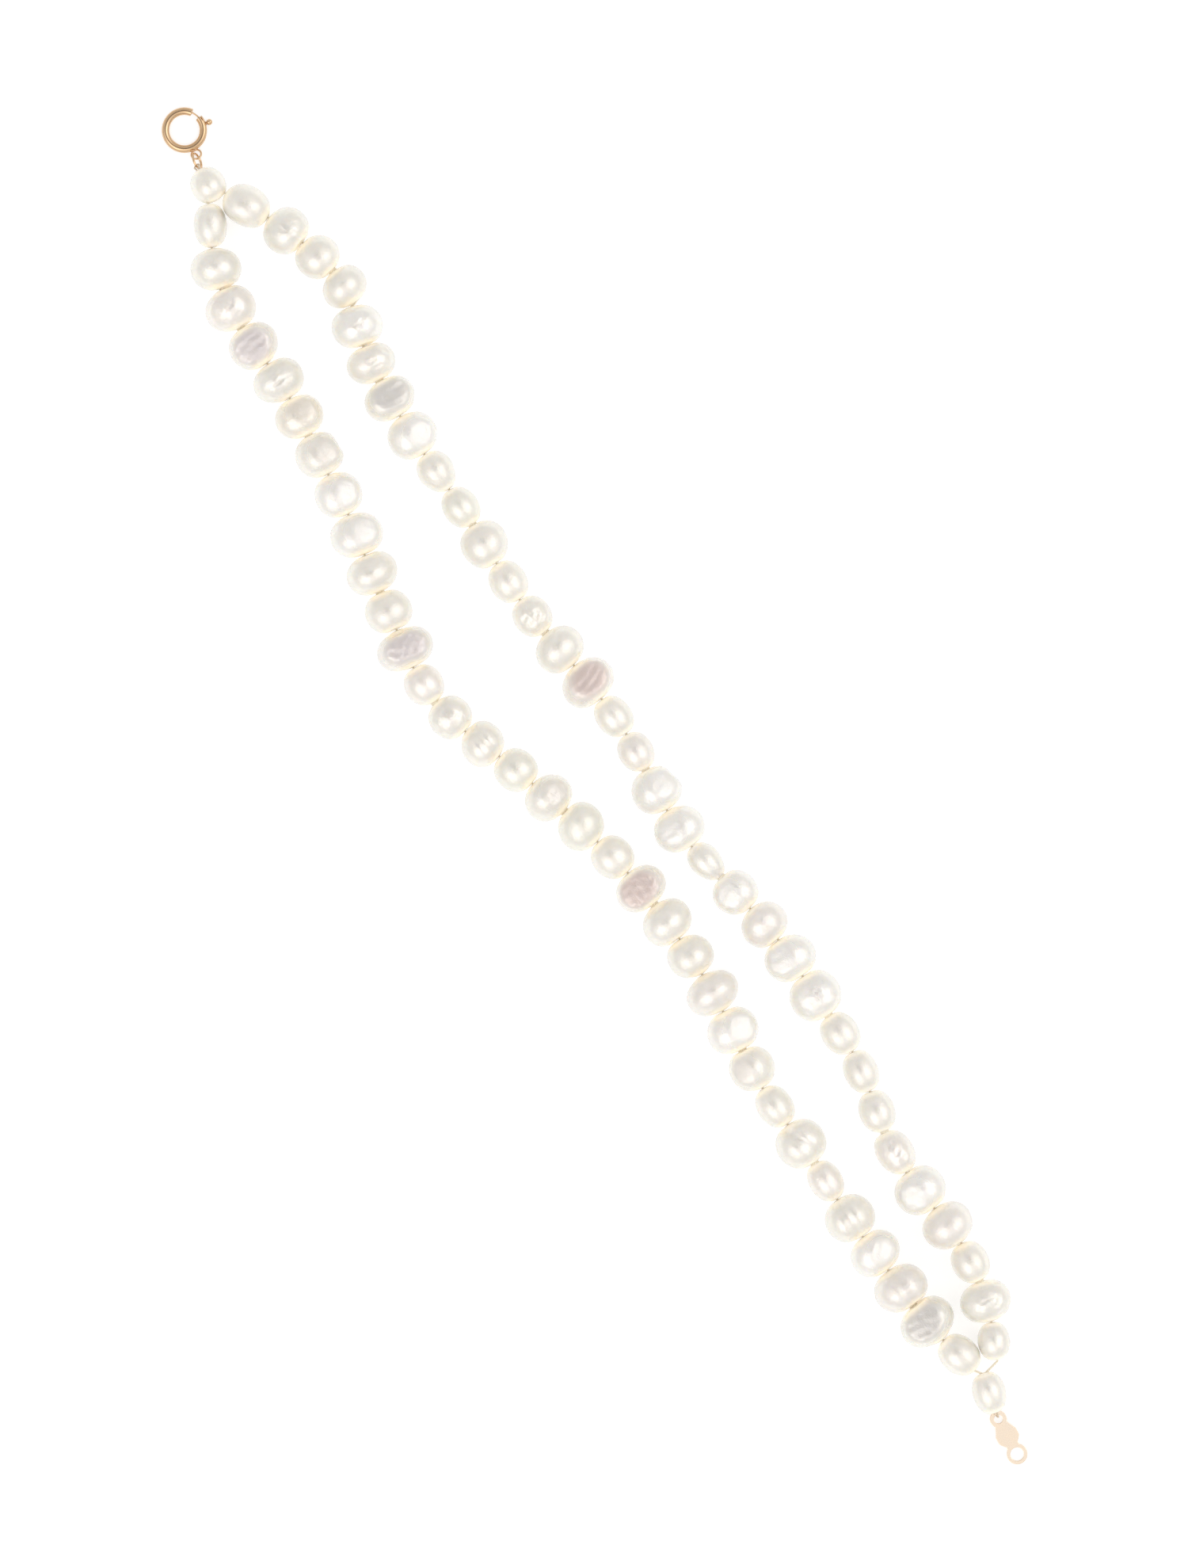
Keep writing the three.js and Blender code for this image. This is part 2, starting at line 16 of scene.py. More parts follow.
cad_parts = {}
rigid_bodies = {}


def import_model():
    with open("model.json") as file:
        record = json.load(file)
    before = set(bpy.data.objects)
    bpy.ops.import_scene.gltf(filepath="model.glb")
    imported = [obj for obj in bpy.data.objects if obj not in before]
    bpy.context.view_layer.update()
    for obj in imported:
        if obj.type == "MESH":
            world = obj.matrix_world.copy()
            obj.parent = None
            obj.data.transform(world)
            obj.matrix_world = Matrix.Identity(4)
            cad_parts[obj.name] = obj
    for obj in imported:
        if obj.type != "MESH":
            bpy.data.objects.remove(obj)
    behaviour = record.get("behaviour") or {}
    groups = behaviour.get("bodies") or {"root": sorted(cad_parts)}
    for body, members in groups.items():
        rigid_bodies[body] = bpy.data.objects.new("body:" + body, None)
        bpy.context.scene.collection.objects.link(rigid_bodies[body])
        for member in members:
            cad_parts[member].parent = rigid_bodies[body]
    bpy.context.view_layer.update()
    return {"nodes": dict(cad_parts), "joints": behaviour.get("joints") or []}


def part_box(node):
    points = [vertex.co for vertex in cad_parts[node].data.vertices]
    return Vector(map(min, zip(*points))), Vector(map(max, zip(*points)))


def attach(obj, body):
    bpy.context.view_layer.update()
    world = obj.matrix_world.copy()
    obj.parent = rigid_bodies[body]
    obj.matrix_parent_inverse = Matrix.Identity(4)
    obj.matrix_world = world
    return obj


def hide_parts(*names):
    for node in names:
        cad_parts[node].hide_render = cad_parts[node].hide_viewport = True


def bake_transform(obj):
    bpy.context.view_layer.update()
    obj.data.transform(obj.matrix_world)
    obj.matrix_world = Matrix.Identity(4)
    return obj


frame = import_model()

MM = 0.001
THREAD_HEIGHT = 2.5 * MM
THREAD_RADIUS = 0.14 * MM
HOLE_RADIUS = 0.4 * MM
UP = np.array([0.0, 0.0, 1.0])

# ---------------------------------------------------------------- what each pearl looks like
#
# Each pearl is (form, tint, lean, turn). Its face or crease leans that many degrees off straight up,
# towards turn, which is counted from the drill hole's direction, anticlockwise from above.

CLASP_PEARL = ("smooth", "cream", 10, 200)
TAG_PEARL = ("smooth", "cream", 15, 60)
STRANDS = {
    "a": [
        ("smooth", "grey", 15, 120), ("potato", "grey", 10, 80), ("creased", "rose", 20, 250),
        ("flat", "lavender", 5, 300), ("creased", "grey", 10, 20), ("disc", "ivory", 17, 120),
        ("heart", "cream", 18, 95), ("disc", "white", 26, 80), ("disc", "white", 22, 100),
        ("potato", "cream", 15, 120), ("potato", "cream", 15, 140), ("waist", "lavender", 4, 90),
        ("smooth", "rose", 10, 100), ("creased", "cream", 25, 270), ("twin", "cream", 15, 80),
        ("smooth", "green", 20, 270), ("disc", "cream", 24, 70), ("potato", "green", 10, 60),
        ("smooth", "cream", 10, 250), ("flat", "rose", 6, 250), ("potato", "cream", 10, 60),
        ("potato", "cream", 12, 100), ("potato", "rose", 12, 200), ("disc", "white", 24, 77),
        ("disc", "cream", 24, 257), ("smooth", "cream", 10, 80), ("twin", "cream", 12, 110),
        ("smooth", "rose", 10, 100), ("twin", "cream", 20, 270), ("disc", "white", 20, 60),
        ("grooved", "rose", 8, 90), ("flat", "grey", 10, 220), ("smooth", "cream", 12, 60),
    ],
    "b": [
        ("potato", "cream", 20, 130), ("creased", "grey", 10, 310), ("potato", "cream", 12, 120),
        ("potato", "cream", 10, 90), ("creased", "white", 12, 90), ("pitted", "cream", 12, 60),
        ("flat", "grey", 10, 130), ("disc", "white", 24, 60), ("drop", "cream", 15, 0),
        ("smooth", "green", 10, 90), ("potato", "cream", 15, 250), ("smooth", "cream", 10, 120),
        ("pitted", "cream", 12, 60), ("potato", "cream", 12, 60), ("flat", "rose", 10, 120),
        ("smooth", "cream", 15, 260), ("smooth", "rose", 12, 100), ("heart", "white", 24, 110),
        ("disc", "white", 24, 240), ("drop", "grey", 10, 0), ("disc", "white", 26, 247),
        ("potato", "rose", 12, 80), ("disc", "white", 24, 240), ("pitted", "white", 18, 270),
        ("smooth", "cream", 12, 100), ("smooth", "cream", 10, 60), ("smooth", "cream", 10, 80),
        ("creased", "rose", 12, 60), ("disc", "white", 20, 270), ("potato", "rose", 12, 100),
        ("smooth", "cream", 10, 90), ("creased", "grey", 10, 40), ("smooth", "cream", 15, 150),
    ],
}

# A form's features. lumps is the size of its soft unevenness, face how far out its flat face lies,
# crease and groove how deep the narrow and the broad furrows are, taper how much it narrows to one end.
FORMS = {
    "smooth": {"lumps": 0.02},
    "potato": {"lumps": 0.05, "wrinkles": 0.004},
    "disc": {"lumps": 0.035, "face": 0.74, "wrinkles": 0.012},
    "flat": {"lumps": 0.04, "face": 0.58, "wrinkles": 0.016},
    "waist": {"lumps": 0.03, "face": 0.6, "wrinkles": 0.02, "waist": 0.14},
    "twin": {"lumps": 0.035, "groove": 0.12, "wrinkles": 0.005},
    "grooved": {"lumps": 0.03, "groove": 0.08, "wrinkles": 0.006},
    "creased": {"lumps": 0.04, "crease": 0.05, "wrinkles": 0.014},
    "pitted": {"lumps": 0.04, "pits": 0.06, "wrinkles": 0.014},
    "heart": {"lumps": 0.03, "face": 0.72, "notch": 0.2, "wrinkles": 0.01},
    "drop": {"lumps": 0.02, "taper": 0.14},
}

# The nacre's colour over most of a pearl, and on its flat side. Where the flat side's tint is greyer, it is
# partly the nacre's own overtone and partly a painted reflection of the dim opening overhead.
TINTS = {
    "cream": ((0.925, 0.918, 0.902), (0.905, 0.893, 0.88)),
    "ivory": ((0.925, 0.91, 0.885), (0.90, 0.885, 0.86)),
    "white": ((0.935, 0.932, 0.925), (0.94, 0.939, 0.937)),
    "rose": ((0.925, 0.912, 0.902), (0.86, 0.81, 0.80)),
    "lavender": ((0.92, 0.91, 0.902), (0.86, 0.842, 0.85)),
    "grey": ((0.92, 0.915, 0.90), (0.862, 0.857, 0.852)),
    "green": ((0.918, 0.916, 0.894), (0.865, 0.873, 0.852)),
}

PEARL_STEPS = 44
PEARL_SIDES = 60
BLUNTNESS = 0.8  # 1 would be an ellipse's outline, less is blunter at the drill holes
CLEARANCE = 0.01 * MM  # between a pearl and the plane halfway to its neighbour
BEND_SLOPE = 0.135  # how fast two neighbours close above the thread at the sharpest bend

# ---------------------------------------------------------------- meshes


def mesh_object(name, points, faces, material):
    """A new smooth-shaded object of that mesh, in the scene."""
    mesh = bpy.data.meshes.new(name)
    mesh.from_pydata([tuple(p) for p in points], [], faces)
    mesh.materials.append(material)
    mesh.polygons.foreach_set("use_smooth", [True] * len(mesh.polygons))
    mesh.update()
    piece = bpy.data.objects.new(name, mesh)
    bpy.context.scene.collection.objects.link(piece)
    return piece


def loft_faces(rings, sides, closed):
    """Four-sided faces between rings of points, and from the last ring to the first if it is closed."""
    faces = []
    for i in range(rings if closed else rings - 1):
        here = i * sides
        after = ((i + 1) % rings) * sides
        for j in range(sides):
            k = (j + 1) % sides
            faces.append((here + j, here + k, after + k, after + j))
    return faces


def unit(v):
    """The direction of v."""
    return v / np.linalg.norm(v)


def frames_along(path, closed=False):
    """The direction of a path at each point, with two directions across it that never twist."""
    if closed:
        ahead = np.roll(path, -1, 0) - np.roll(path, 1, 0)
    else:
        ahead = np.gradient(path, axis=0)
    ahead = ahead / np.linalg.norm(ahead, axis=1)[:, None]
    start = UP if abs(ahead[0] @ UP) < 0.9 else np.array([1.0, 0.0, 0.0])
    side = unit(np.cross(ahead[0], start))
    sides = []
    for direction in ahead:
        side = unit(side - direction * (side @ direction))
        sides.append(side)
    sides = np.array(sides)
    return ahead, sides, np.cross(ahead, sides)


END_RINGS = (0.995, 0.87, 0.5)  # how far out the rings of a rod's round end lie, in its radius


def rod(name, path, radius, material, sides, closed=False):
    """A round rod along a path. Its ends are rounded off."""
    path = np.array(path, float)
    radii = np.broadcast_to(radius, len(path)).astype(float)
    ahead, across, over = frames_along(path, closed)
    if not closed:
        first, last = [], []
        for share in END_RINGS:
            back = math.sqrt(1 - share * share)
            first.append((path[0] - ahead[0] * radii[0] * share, radii[0] * back))
            last.append((path[-1] + ahead[-1] * radii[-1] * share, radii[-1] * back))
        last.reverse()
        path = np.array([p for p, _ in first] + list(path) + [p for p, _ in last])
        radii = np.array([r for _, r in first] + list(radii) + [r for _, r in last])
        extra = len(END_RINGS)
        across = np.vstack([[across[0]] * extra, across, [across[-1]] * extra])
        over = np.vstack([[over[0]] * extra, over, [over[-1]] * extra])
    angles = np.linspace(0, 2 * math.pi, sides, endpoint=False)
    points = [
        centre + r * (math.cos(t) * a + math.sin(t) * b)
        for centre, r, a, b in zip(path, radii, across, over)
        for t in angles
    ]
    faces = loft_faces(len(path), sides, closed)
    if not closed:
        faces.append(tuple(reversed(range(sides))))
        faces.append(tuple(range(len(points) - sides, len(points))))
    return mesh_object(name, points, faces, material)


def smooth_path(points, steps):
    """A smooth curve through a few points (Catmull-Rom), with that many steps between each two."""
    p = np.array(points, float)
    p = np.vstack([2 * p[0] - p[1], p, 2 * p[-1] - p[-2]])
    path = []
    for i in range(1, len(p) - 2):
        for t in np.linspace(0, 1, steps, endpoint=False):
            path.append(0.5 * (
                2 * p[i]
                + (p[i + 1] - p[i - 1]) * t
                + (2 * p[i - 1] - 5 * p[i] + 4 * p[i + 1] - p[i + 2]) * t * t
                + (3 * p[i] - p[i - 1] - 3 * p[i + 1] + p[i + 2]) * t**3
            ))
    path.append(p[-2])
    return np.array(path)


# ---------------------------------------------------------------- materials


def new_material(name):
    """A new material, with its nodes, its links and its shader."""
    material = bpy.data.materials.new(name)
    material.use_nodes = True
    nodes = material.node_tree.nodes
    return material, nodes, material.node_tree.links, nodes["Principled BSDF"]


def noise(nodes, links, coordinates, scale, detail, distortion=0.0):
    """Soft random patches, from 0 to 1. scale is how many there are to a metre."""
    texture = nodes.new("ShaderNodeTexNoise")
    texture.inputs["Scale"].default_value = scale
    texture.inputs["Detail"].default_value = detail
    texture.inputs["Distortion"].default_value = distortion
    links.new(coordinates, texture.inputs["Vector"])
    return texture.outputs["Fac"]


def ramp(nodes, links, value, stops):
    """A colour that depends on a value, through a few (value, colour) stops."""
    colours = nodes.new("ShaderNodeValToRGB")
    elements = colours.color_ramp.elements
    while len(elements) < len(stops):
        elements.new(0.5)
    for element, (position, colour) in zip(elements, stops):
        element.position = position
        element.color = (*colour, 1)
    links.new(value, colours.inputs["Fac"])
    return colours.outputs["Color"]


def grey(value):
    return (value, value, value)


def mix(nodes, links, factor, a, b):
    """A colour between a and b, each a colour or another node's output."""
    node = nodes.new("ShaderNodeMix")
    node.data_type = "RGBA"
    links.new(factor, node.inputs["Factor"])
    for socket, value in ((node.inputs[6], a), (node.inputs[7], b)):
        if isinstance(value, tuple):
            socket.default_value = (*value, 1)
        else:
            links.new(value, socket)
    return node.outputs[2]


def linear(colour):
    """A screen colour as the light value that gives it."""
    return tuple(c / 12.92 if c <= 0.04045 else ((c + 0.055) / 1.055) ** 2.4 for c in colour)


def bump(nodes, links, height, distance, strength, after=None):
    """Small relief from a height, on top of other relief if there is any."""
    node = nodes.new("ShaderNodeBump")
    node.inputs["Distance"].default_value = distance
    node.inputs["Strength"].default_value = strength
    links.new(height, node.inputs["Height"])
    if after is not None:
        links.new(after, node.inputs["Normal"])
    return node.outputs["Normal"]


PAINTED_END_GLOW = 0.16  # painted glow on a pearl's ends: it stands in for the light they let through and lightens the shade between neighbours
# The colour at a pearl's ends: partly the nacre's own warmer tone near the drill holes, partly painted bounce
# light that lightens the shade where neighbours meet.
WARM_ENDS_AND_PAINTED_BOUNCE = linear((0.965, 0.94, 0.895))
CLOUD_CONTRAST = 0.035


def nacre(tint):
    """Pearl: translucent cream layers with clouded colour, fine growth lines and a deep gloss."""
    body, face = (linear(c) for c in TINTS[tint])
    material, nodes, links, shader = new_material("nacre_" + tint)
    where = nodes.new("ShaderNodeTexCoord").outputs["Object"]
    flatness = nodes.new("ShaderNodeAttribute")
    flatness.attribute_name = "flatness"
    ends = nodes.new("ShaderNodeAttribute")
    ends.attribute_name = "ends"
    clouds = noise(nodes, links, where, 520, 3, 0.4)
    paler = linear(tuple(min(1, c + CLOUD_CONTRAST) for c in TINTS[tint][0]))
    patches = ramp(nodes, links, clouds, [(0.35, grey(0)), (0.7, grey(1))])
    cloudy = mix(nodes, links, patches, body, paler)
    # On the flat face the colour turns to the face tint: partly the nacre's own overtone, partly a painted
    # reflection of the dim opening overhead.
    face_tone_and_reflection = mix(nodes, links, flatness.outputs["Fac"], cloudy, face)
    # Towards the drill holes the colour turns warmer and lighter: partly the nacre's own tone, partly painted
    # bounce light in the shade between neighbours.
    coloured = mix(nodes, links, ends.outputs["Fac"], face_tone_and_reflection, WARM_ENDS_AND_PAINTED_BOUNCE)
    links.new(coloured, shader.inputs["Base Color"])
    lines = noise(nodes, links, where, 2600, 4, 1.5)
    fine = noise(nodes, links, where, 9000, 2, 0.2)
    gloss = ramp(nodes, links, flatness.outputs["Fac"], [(0.0, grey(0.27)), (1.0, grey(0.4))])
    links.new(gloss, shader.inputs["Roughness"])
    growth = bump(nodes, links, lines, 0.06 * MM, 0.7)
    links.new(bump(nodes, links, fine, 0.004 * MM, 0.4, growth), shader.inputs["Normal"])
    lustre = ramp(nodes, links, ends.outputs["Fac"], [(0.0, grey(0.42)), (0.8, grey(0.02))])
    links.new(lustre, shader.inputs["Metallic"])
    shader.inputs["Subsurface Weight"].default_value = 0.8
    shader.inputs["Subsurface Radius"].default_value = (1.0, 0.85, 0.65)
    shader.inputs["Subsurface Scale"].default_value = 1.2 * MM
    shader.inputs["IOR"].default_value = 1.6
    # Painted glow: the ends give off a faint warm light of their own, which stands in for light let through
    # the nacre and lifts the shade between neighbours.
    through = ramp(nodes, links, ends.outputs["Fac"], [(0.3, grey(0.0)), (1.0, (1.0, 0.9, 0.78))])
    links.new(through, shader.inputs["Emission Color"])
    shader.inputs["Emission Strength"].default_value = PAINTED_END_GLOW
    shader.inputs["Coat Weight"].default_value = 0.7
    shader.inputs["Coat Roughness"].default_value = 0.1
    shader.inputs["Coat IOR"].default_value = 1.5
    shader.inputs["Coat Tint"].default_value = (1.0, 0.982, 0.945, 1)
    shader.inputs["Sheen Weight"].default_value = 0.12
    shader.inputs["Sheen Roughness"].default_value = 0.4
    shader.inputs["Sheen Tint"].default_value = (1.0, 0.9, 0.8, 1)
    shader.inputs["Thin Film Thickness"].default_value = 240
    shader.inputs["Thin Film IOR"].default_value = 1.4
    return material


def gold(name, bright, deep, roughness):
    """Polished gold with faint handling scratches and a slightly deeper colour where it is worn dull."""
    material, nodes, links, shader = new_material(name)
    where = nodes.new("ShaderNodeTexCoord").outputs["Object"]
    patches = noise(nodes, links, where, 900, 3)
    links.new(mix(nodes, links, patches, linear(bright), linear(deep)), shader.inputs["Base Color"])
    smoothest, dullest = grey(roughness * 0.75), grey(roughness * 1.4)
    worn = ramp(nodes, links, patches, [(0.3, smoothest), (0.7, dullest)])
    links.new(worn, shader.inputs["Roughness"])
    stretch = nodes.new("ShaderNodeMapping")
    stretch.inputs["Scale"].default_value = (1.0, 9.0, 1.0)
    links.new(where, stretch.inputs["Vector"])
    scratches = noise(nodes, links, stretch.outputs["Vector"], 3500, 3)
    links.new(bump(nodes, links, scratches, 0.006 * MM, 0.25), shader.inputs["Normal"])
    shader.inputs["Metallic"].default_value = 1
    return material


def silk():
    """Cream silk thread, with the lay of its twist."""
    material, nodes, links, shader = new_material("silk")
    where = nodes.new("ShaderNodeTexCoord").outputs["Object"]
    twist = nodes.new("ShaderNodeTexWave")
    twist.inputs["Scale"].default_value = 2600
    twist.inputs["Distortion"].default_value = 1.5
    twist.bands_direction = "DIAGONAL"
    links.new(where, twist.inputs["Vector"])
    pale, shaded = linear((0.96, 0.93, 0.86)), linear((0.88, 0.83, 0.72))
    links.new(mix(nodes, links, twist.outputs["Fac"], shaded, pale), shader.inputs["Base Color"])
    links.new(bump(nodes, links, twist.outputs["Fac"], 0.02 * MM, 0.6), shader.inputs["Normal"])
    shader.inputs["Roughness"].default_value = 0.65
    shader.inputs["Sheen Weight"].default_value = 0.5
    return material


NACRE = {tint: nacre(tint) for tint in TINTS}
ROSE_GOLD = gold("rose_gold", (0.91, 0.79, 0.65), (0.80, 0.655, 0.49), 0.15)
PALE_GOLD = gold("pale_gold", (0.965, 0.905, 0.835), (0.945, 0.865, 0.765), 0.24)
FRENCH_WIRE = gold("french_wire", (0.93, 0.88, 0.80), (0.85, 0.78, 0.68), 0.25)
SPRING_STEEL = gold("spring_steel", (0.80, 0.80, 0.82), (0.66, 0.66, 0.69), 0.25)
SILK = silk()

# ---------------------------------------------------------------- where the pearls are


def node_points(node):
    """A CAD node's points, which are in the frame's own coordinates."""
    mesh = frame["nodes"][node].data
    return np.array([v.co for v in mesh.vertices], float)


def level(v):
    """The level direction closest to v."""
    return unit(np.array([v[0], v[1], 0.0]))


MOUTH_DEPTH = 0.12 * MM  # the outermost points this deep are the rim of a drill hole
PAIR_SLACK = 0.06 * MM  # between each pearl of a knotted pair and the middle of the knot


def hole_mouths(points, guess):
    """The middles of the two ends of a pearl's drill hole. guess is roughly the hole's direction."""
    direction = guess
    for _ in range(4):
        reach = points @ direction
        near = points[reach < reach.min() + MOUTH_DEPTH].mean(0)
        far = points[reach > reach.max() - MOUTH_DEPTH].mean(0)
        direction = unit(far - near)
    return near, far


def meeting_point(points, near, far):
    """Where two knotted pearls meet: the middle of the knot, round the shared hole."""
    along = unit(far - near)
    share = (points - near) @ along / np.linalg.norm(far - near)
    knot = (share > 0.3) & (share < 0.7) & (abs(points[:, 2] - THREAD_HEIGHT) < 1.05 * HOLE_RADIUS)
    return points[knot].mean(0)


def width_across(points, near, far):
    """A pearl's width across its drill hole, and the height of its top."""
    along = unit(far - near)
    share = (points - near) @ along / np.linalg.norm(far - near)
    mine = points[(share > 0.1) & (share < 0.9)]
    sideways = np.cross(UP, level(along))
    return float(np.ptp(mine @ sideways)), float(mine[:, 2].max())


class Pearl:
    """One pearl's place and size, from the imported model, and its look."""

    def __init__(self, name, body, points, near, far, look):
        self.name = name
        self.body = body
        self.near = near
        self.far = far
        self.width, self.height = width_across(points, near, far)
        self.form, self.tint, self.lean, self.turn = look
        self.limits = []


def strand_nodes(strand):
    """A strand's CAD nodes in order from the clasp."""
    names = [n for n in frame["nodes"] if n.startswith((f"pearl_{strand}", f"pearls_{strand}"))]
    return sorted(names, key=lambda n: n.split("_" + strand)[1][:2])


def strand_pearls(strand):
    """A strand's pearls in order from the clasp. A CAD node that is a knotted pair holds two of them."""
    nodes = strand_nodes(strand)
    clouds = [node_points(n) for n in nodes]
    middles = [c.mean(0) for c in clouds]
    ends = [node_points("pearl_clasp_end").mean(0), *middles, node_points("pearl_tag_end").mean(0)]
    looks = iter(STRANDS[strand])
    found = []
    for i, (node, points) in enumerate(zip(nodes, clouds)):
        near, far = hole_mouths(points, level(ends[i + 2] - ends[i]))
        numbers = node.split("_")[1:]
        stretches = [(near, far)]
        if len(numbers) == 2:
            meeting = meeting_point(points, near, far)
            stretches = [
                (near, meeting - unit(meeting - near) * PAIR_SLACK),
                (meeting + unit(far - meeting) * PAIR_SLACK, far),
            ]
        for number, (start, end) in zip(numbers, stretches):
            found.append(Pearl("nacre_" + number, node, points, start, end, next(looks)))
    return found


def end_pearl(name, node, guess, look):
    """One of the two pearls that both strands share. guess is roughly its hole's direction."""
    points = node_points(node)
    near, far = hole_mouths(points, guess)
    return Pearl(name, node, points, near, far, look)


# ---------------------------------------------------------------- the pearls


def uneven(directions, seed, size, coarseness, waves=7):
    """Soft random unevenness over the sphere of directions, as a sum of a few waves."""
    chance = np.random.default_rng(seed)
    total = np.zeros(len(directions))
    for _ in range(waves):
        heading = unit(chance.normal(size=3)) * coarseness * chance.uniform(0.6, 1.3)
        total += np.sin(directions @ heading + chance.uniform(0, 2 * math.pi))
    return size * total / math.sqrt(waves)


def soft_step(x, low, high):
    """0 below low and 1 above high, with a smooth change between them."""
    t = np.clip((x - low) / (high - low), 0, 1)
    return t * t * (3 - 2 * t)


# A creased pearl's three furrows: how far along the turn, how far to the side, and how deep.
CREASES = ((-0.3, 0.2, 0.8), (0.02, -0.1, 1.0), (0.3, 0.3, 0.6))


def shaped(directions, form, lean, turn, seed):
    """A pearl's shape and its flatness, from directions given as (along the hole, across it, up)."""
    features = FORMS[form]
    lean, turn = math.radians(lean), math.radians(turn)
    heading = np.array([math.cos(turn), math.sin(turn), 0.0])
    facing = math.sin(lean) * heading + math.cos(lean) * UP
    cross = np.array([-math.sin(turn), math.cos(turn), 0.0])
    upward = soft_step(directions @ facing, -0.2, 0.5)
    radius = 1 + uneven(directions, seed, features["lumps"], 2.2)
    if "groove" in features:
        furrow = np.exp(-((directions @ heading - 0.05) / 0.22) ** 2)
        radius -= features["groove"] * furrow * upward
    if "waist" in features:
        furrow = np.exp(-((directions @ heading) / 0.3) ** 2)
        radius -= features["waist"] * furrow * abs(directions @ cross)
    if "crease" in features:
        for k, (offset, middle, depth) in enumerate(CREASES):
            bend = 0.13 * np.sin(5 * (directions @ cross) + seed + 2 * k)
            furrow = np.exp(-((directions @ heading - offset - bend) / 0.05) ** 2)
            short = np.exp(-((directions @ cross - middle) / 0.4) ** 2)
            radius -= features["crease"] * depth * furrow * short * upward
    if "pits" in features:
        chance = np.random.default_rng(seed + 50)
        for _ in range(9):
            spot = unit(facing + chance.normal(size=3) * 0.45)
            away = np.linalg.norm(directions - spot, axis=1)
            radius -= features["pits"] * chance.uniform(0.4, 1) * np.exp(-(away / 0.13) ** 2)
    if "notch" in features:
        away = np.linalg.norm(directions - heading, axis=1)
        radius -= features["notch"] * np.exp(-(away / 0.4) ** 2)
    points = directions * radius[:, None]
    if "taper" in features:
        points[:, 1] *= 1 - features["taper"] * soft_step(directions @ heading, -0.4, 1)
        points[:, 2] *= 1 - 0.6 * features["taper"] * soft_step(directions @ heading, -0.4, 1)
    flatness = np.zeros(len(points))
    if "face" in features:
        soft = 0.2
        over = points @ facing - features["face"]
        pressed = soft * np.tanh(np.maximum(over, 0) / soft)
        points += np.outer(np.where(over > 0, pressed - over, 0), facing)
        flatness = soft_step(over, -0.08, 0.3)
    if "wrinkles" in features:
        lines = uneven(directions * [1.0, 2.2, 1.0], seed + 9, features["wrinkles"], 16, 9)
        points += np.outer(lines * upward, facing)
    return points, flatness


def limit_each_other(pearl, other):
    """Give two neighbours the plane halfway between them, which neither may cross."""
    middle = (pearl.far + other.near) / 2
    ahead = unit(unit(pearl.far - pearl.near) + unit(other.far - other.near))
    pearl.limits.append((middle, ahead))
    other.limits.append((middle, -ahead))


def pearl_piece(pearl, seed):
    """A drilled pearl, closed round its hole, which fits the length, width and height of its CAD node."""
    open_at = (2 * HOLE_RADIUS / pearl.width) ** (1 / BLUNTNESS)
    mouth = math.asin(min(open_at, 0.9))
    steps = np.linspace(mouth, math.pi - mouth, PEARL_STEPS)
    sides = np.linspace(0, 2 * math.pi, PEARL_SIDES, endpoint=False)
    theta, phi = (g.ravel() for g in np.meshgrid(steps, sides, indexing="ij"))
    waist = np.sin(theta) ** BLUNTNESS
    directions = np.stack([-np.cos(theta), waist * np.cos(phi), waist * np.sin(phi)], 1)
    points, flatness = shaped(directions, pearl.form, pearl.lean, pearl.turn, seed)
    rim = soft_step(waist, open_at, 0.55)  # the two mouths keep their round shape
    points = directions + (points - directions) * rim[:, None]
    points[:, 0] /= abs(points[:, 0]).max()
    points[:, 1] -= (points[:, 1].max() + points[:, 1].min()) / 2 * waist
    points[:, 1] /= abs(points[:, 1]).max()
    points[:, 2] = (points[:, 2] - points[:, 2].min()) / np.ptp(points[:, 2]) * 2 - 1
    along = (pearl.far - pearl.near) / 2
    sideways = np.cross(UP, level(along))
    middle = (pearl.near + pearl.far) / 2
    lift = pearl.height / 2 - middle[2]
    shape = middle + np.outer(points[:, 0], along)
    shape += np.outer(points[:, 1] * pearl.width / 2, sideways)
    shape[:, 2] += points[:, 2] * pearl.height / 2 + lift * soft_step(waist, open_at, 0.8)
    for point, outward in pearl.limits:
        room = CLEARANCE + BEND_SLOPE * np.maximum(shape[:, 2] - THREAD_HEIGHT, 0)
        shape -= np.outer(np.maximum((shape - point) @ outward + room, 0), outward)
    faces = loft_faces(PEARL_STEPS, PEARL_SIDES, True)
    piece = mesh_object(pearl.name, shape, faces, NACRE[pearl.tint])
    # ends is how near each point lies to a drill hole. It carries the nacre's warmer ends, with painted
    # bounce light and a painted glow there.
    ends = soft_step(abs(points[:, 0]), 0.6, 0.98)
    # flatness carries the flat face's rougher gloss and its tint, which is partly a painted reflection.
    for label, values in (("flatness", flatness), ("ends", ends)):
        piece.data.attributes.new(label, "FLOAT", "POINT").data.foreach_set("value", values)
    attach(piece, pearl.body)
    return piece


pearls = {strand: strand_pearls(strand) for strand in STRANDS}
first = end_pearl("nacre_clasp_end", "pearl_clasp_end", np.array([1.0, 0.0, 0.0]), CLASP_PEARL)
last = end_pearl("nacre_tag_end", "pearl_tag_end", np.array([1.0, -0.3, 0.0]), TAG_PEARL)
for row in pearls.values():
    row = [first, *row, last]
    for pearl, other in zip(row, row[1:]):
        limit_each_other(pearl, other)
shown = set()
for seed, pearl in enumerate([first, last, *pearls["a"], *pearls["b"]]):
    piece = pearl_piece(pearl, seed)
    if pearl.body not in shown:
        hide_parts(pearl.body)
        shown.add(pearl.body)

# ---------------------------------------------------------------- the threads and their knots

KNOT_RADIUS = 0.55 * MM
INSIDE = 0.45 * MM  # how far a stretch of thread reaches into a pearl's hole
AT_THE_MOUTH = 0.02 * MM  # the same where the closed loop is opened, so that the thread stays clear


